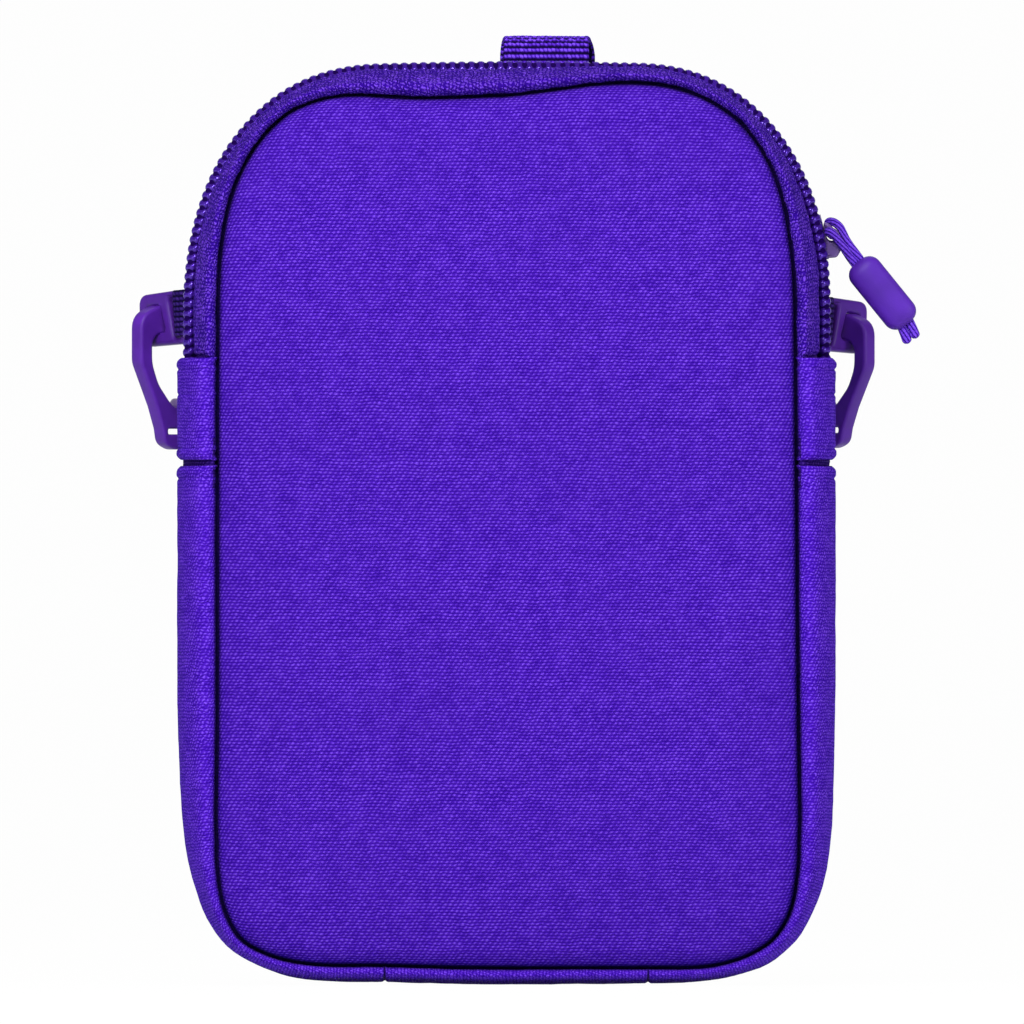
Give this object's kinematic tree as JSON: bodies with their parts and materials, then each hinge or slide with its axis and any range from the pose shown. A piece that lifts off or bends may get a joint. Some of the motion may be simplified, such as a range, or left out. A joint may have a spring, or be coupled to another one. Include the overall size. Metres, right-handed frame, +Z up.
{
  "type": "small zip pouch with side clips",
  "caption": "Small padded rectangular cloth pouch with a coil zip over its top, a corded puller, a webbing top loop and gated clips on side rings.",
  "frame": {"origin": "middle of the flat base", "axes": "+Z up, front panel faces -Y, +X to the right seen from the front"},
  "size_m": [0.1464, 0.0582, 0.1735],
  "materials": {
    "canvas": "coated plain-weave cloth",
    "tape": "woven zip tape",
    "teeth": "gloss coil",
    "webbing": "ribbed webbing",
    "padding": "foam sheet",
    "lining": "thin lining cloth",
    "moulded": "satin moulded",
    "slider": "satin painted",
    "cord": "braided cord",
    "grip": "soft moulded"
  },
  "bodies": {
    "pouch": {"front_panel_lower": "canvas", "front_padding_lower": "padding", "front_lining_lower": "lining", "back_panel": "canvas", "back_padding": "padding", "back_lining": "lining", "gusset_right": "canvas", "gusset_left": "canvas", "bottom_panel": "canvas", "gusset_lining": "lining", "zip_end_tab_right": "canvas", "zip_end_tab_left": "canvas", "zip_strip_front_right": "canvas", "zip_tape_front_right": "tape", "zip_teeth_front_right": "teeth", "zip_strip_front_left": "canvas", "zip_tape_front_left": "tape", "zip_teeth_front_left": "teeth", "zip_strip_rear": "canvas", "zip_tape_rear": "tape", "zip_teeth_rear": "teeth", "webbing_tab_right": "webbing", "webbing_tab_left": "webbing", "top_loop": "webbing"},
    "mouth_flap": {"front_panel_upper": "canvas", "front_padding_upper": "padding", "front_lining_upper": "lining", "zip_strip_front_upper": "canvas", "zip_tape_front_upper": "tape", "zip_teeth_front_upper": "teeth"},
    "slider": {"slider_body": "slider"},
    "puller": {"puller_cord": "cord", "puller_grip": "grip"},
    "ring_left": {"side_ring_left": "moulded"},
    "clip_left": {"clip_frame_left": "moulded"},
    "gate_left": {"clip_gate_left": "moulded"},
    "ring_right": {"side_ring_right": "moulded"},
    "clip_right": {"clip_frame_right": "moulded"},
    "gate_right": {"clip_gate_right": "moulded"}
  },
  "joints": [
    {"name": "mouth_fold", "type": "hinge", "parent": "pouch", "child": "mouth_flap", "pos_m": [0, -0.0252, 0.1422], "axis": [1, 0, 0], "range_deg": [0, 40]},
    {"name": "zip_travel", "type": "hinge", "parent": "pouch", "child": "slider", "pos_m": [-0.01499, 0, 0.12293], "axis": [0, 1, 0], "range_deg": [0, 12]},
    {"name": "puller_swing", "type": "hinge", "parent": "slider", "child": "puller", "pos_m": [0.05969, 0, 0.13818], "axis": [0, 1, 0], "range_deg": [-95, 15]},
    {"name": "ring_turn_left", "type": "hinge", "parent": "pouch", "child": "ring_left", "pos_m": [-0.0584, 0.0195, 0.122], "axis": [0.0336, -0.0401, -0.9986], "range_deg": [-50, 45]},
    {"name": "clip_swing_left", "type": "hinge", "parent": "ring_left", "child": "clip_left", "pos_m": [-0.06356, 0.02565, 0.11757], "axis": [-0.6419, 0.765, -0.0523], "range_deg": [-20, 20]},
    {"name": "gate_open_left", "type": "hinge", "parent": "clip_left", "child": "gate_left", "pos_m": [-0.05743, 0.03079, 0.1057], "axis": [0.6428, -0.766, 0], "range_deg": [0, 25], "stiffness_Nm_per_rad": 0.02},
    {"name": "ring_turn_right", "type": "hinge", "parent": "pouch", "child": "ring_right", "pos_m": [0.0572, 0.0195, 0.12075], "axis": [0.0336, 0.0401, 0.9986], "range_deg": [-50, 45]},
    {"name": "clip_swing_right", "type": "hinge", "parent": "ring_right", "child": "clip_right", "pos_m": [0.06236, 0.02565, 0.11632], "axis": [0.6419, 0.765, -0.0523], "range_deg": [-20, 20]},
    {"name": "gate_open_right", "type": "hinge", "parent": "clip_right", "child": "gate_right", "pos_m": [0.05623, 0.03079, 0.10549], "axis": [0.6428, 0.766, 0], "range_deg": [0, 25], "stiffness_Nm_per_rad": 0.02}
  ]
}
